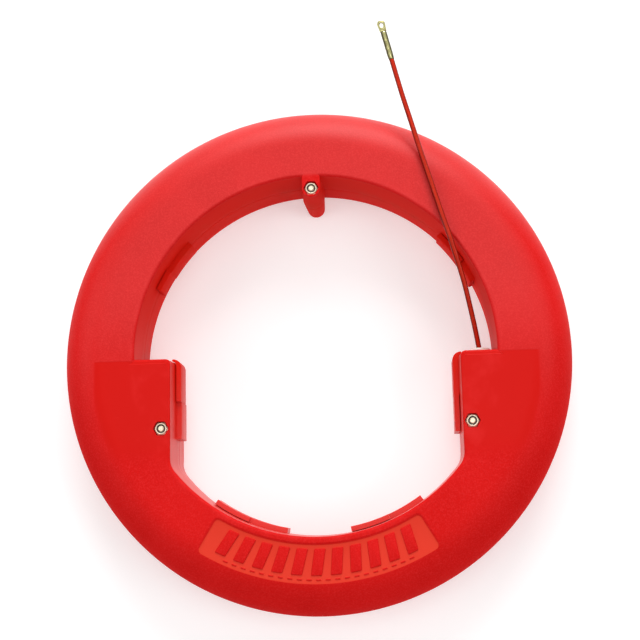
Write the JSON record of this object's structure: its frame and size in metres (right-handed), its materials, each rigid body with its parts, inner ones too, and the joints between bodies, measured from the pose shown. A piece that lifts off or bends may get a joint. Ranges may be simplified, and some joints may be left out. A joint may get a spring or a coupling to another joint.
{
  "type": "fish tape reel",
  "caption": "Ring-shaped moulded case of two half shells that stores a coiled fibreglass rod, fed out through a guide bush to a brass pulling eye.",
  "frame": {"origin": "centre of the ring on the case's back face, which rests on the surface; the free rod and its eye are left out of this measure", "axes": "+Z along the ring's axis from the back face to the front face, +Y from the label panel to the top screw boss, +X towards the block with the guide bush"},
  "size_m": [0.4, 0.4655, 0.0722],
  "materials": {
    "case": "moulded stipple, satin",
    "zinc": "bright zinc plate",
    "nut_nylon": "satin",
    "bush_nylon": "satin",
    "glass_rod": "smooth resin gloss",
    "brass": "turned and lightly tarnished"
  },
  "bodies": {
    "case": {"front_shell": "case", "rear_shell": "case", "guide_bush": "bush_nylon", "screw_top": "zinc", "screw_left": "zinc", "screw_right": "zinc", "washer_top": "zinc", "washer_left": "zinc", "washer_right": "zinc", "lock_nut_top": "zinc", "lock_nut_left": "zinc", "lock_nut_right": "zinc", "nut_insert_top": "nut_nylon", "nut_insert_left": "nut_nylon", "nut_insert_right": "nut_nylon"},
    "leader": {"rod_leader": "glass_rod", "rod_feed": "glass_rod", "tip_ferrule": "brass", "pulling_eye": "brass"},
    "coil": {"rod_coil": "glass_rod", "rod_end_stop": "brass"}
  },
  "joints": [
    {"name": "rod_slide", "type": "slide", "parent": "case", "child": "leader", "axis": [-0.1737, 0.9045, 0.3894], "range_m": [0, 0.05]},
    {"name": "coil_turn", "type": "hinge", "parent": "case", "child": "coil", "pos_m": [0, 0, 0.033], "axis": [0, 0, 1], "range_deg": [0, 16]}
  ],
  "couplings": [
    {"joint": "coil_turn", "follows": "rod_slide", "rad_per_m": 5.4}
  ]
}
